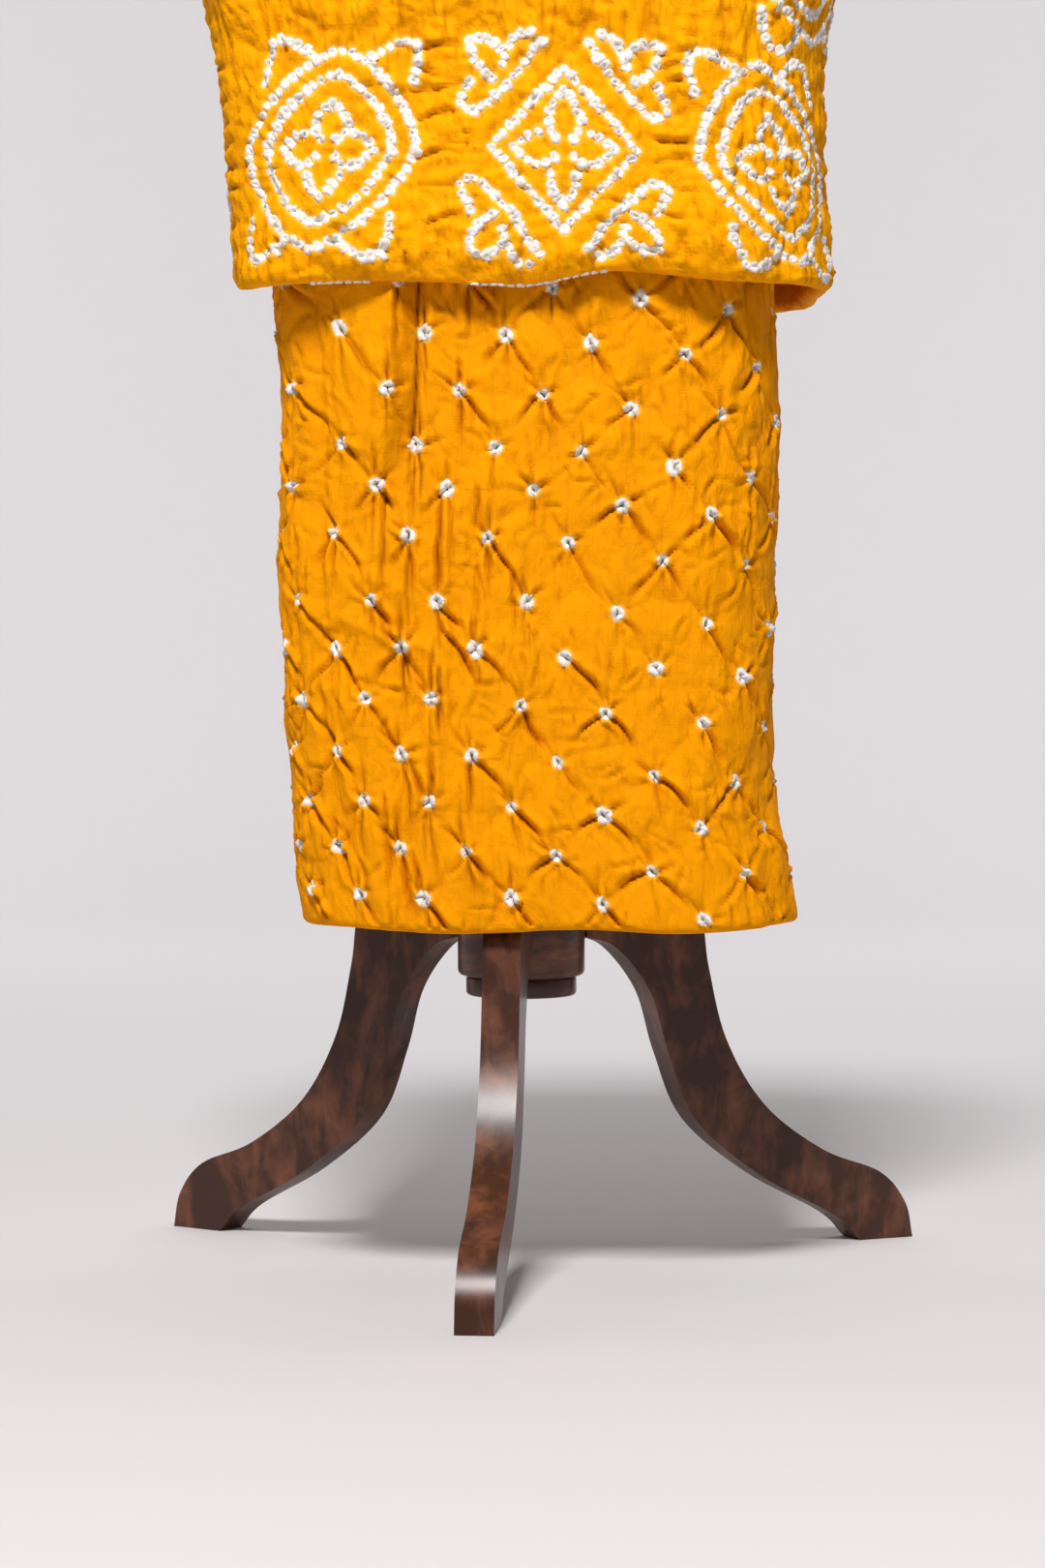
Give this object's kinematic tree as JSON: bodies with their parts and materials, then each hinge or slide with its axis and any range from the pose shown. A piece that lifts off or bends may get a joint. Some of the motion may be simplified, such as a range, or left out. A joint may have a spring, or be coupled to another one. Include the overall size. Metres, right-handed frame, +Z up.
{
  "type": "bandhani cloth draped on a dress-form stand",
  "caption": "Tie-dyed bandhani cloth in two tiers, a dotted length under a bordered one, draped on a plain dress-form body on a wooden tripod.",
  "frame": {"origin": "on the floor, at the middle of the whole thing's base rectangle, which the three feet set", "axes": "+Z up; -Y is the front, the face of the cloth that shows; +X is to the right seen from the front"},
  "size_m": [0.5612, 0.5134, 0.986],
  "materials": {
    "cloth_lower": "puckered yellow-orange cotton with white tied dots",
    "cloth_upper": "crinkled yellow-orange cotton with white dotted medallions",
    "form_cover": "plain natural jersey",
    "hub_wood": "dark lacquered, turned",
    "leg_wood": "dark lacquered, sawn and sanded"
  },
  "bodies": {
    "root": {"cloth_lower": "cloth_lower", "cloth_upper": "cloth_upper", "form_body": "form_cover", "hub": "hub_wood", "leg_front": "leg_wood", "leg_left": "leg_wood", "leg_right": "leg_wood"}
  },
  "joints": []
}
